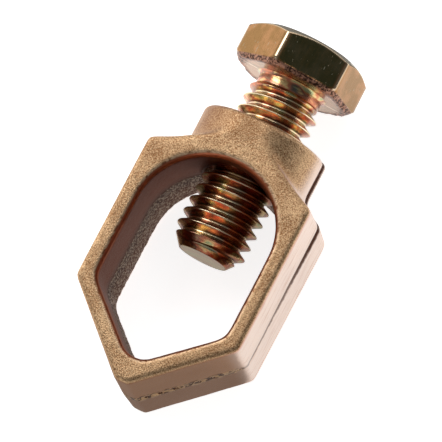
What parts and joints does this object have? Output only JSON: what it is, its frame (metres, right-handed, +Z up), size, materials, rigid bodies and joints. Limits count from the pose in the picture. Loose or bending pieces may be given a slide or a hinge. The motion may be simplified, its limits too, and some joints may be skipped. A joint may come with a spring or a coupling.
{
  "type": "earth rod clamp",
  "caption": "Cast ring-shaped clamp with a V seat and a threaded boss, closed by a hexagon-head set bolt that presses a round earth rod and its conductor together.",
  "frame": {"origin": "centre of the part's footprint, on the surface it lies on", "axes": "+Z up, along the earth rod in use; +Y along the bolt from its tip to its head; +X across the ring"},
  "size_m": [0.0222, 0.0482, 0.0161],
  "materials": {
    "cast_bronze": "sand-cast, satin, fine grain with polished edges",
    "plated_steel": "yellow passivated zinc plating with an iridescent tint"
  },
  "bodies": {
    "body": {"clamp_body": "cast_bronze"},
    "bolt": {"clamp_bolt": "plated_steel"}
  },
  "joints": [
    {"name": "bolt_travel", "type": "slide", "parent": "body", "child": "bolt", "axis": [0, 1, 0], "range_m": [-0.00685, 0.0108]}
  ]
}
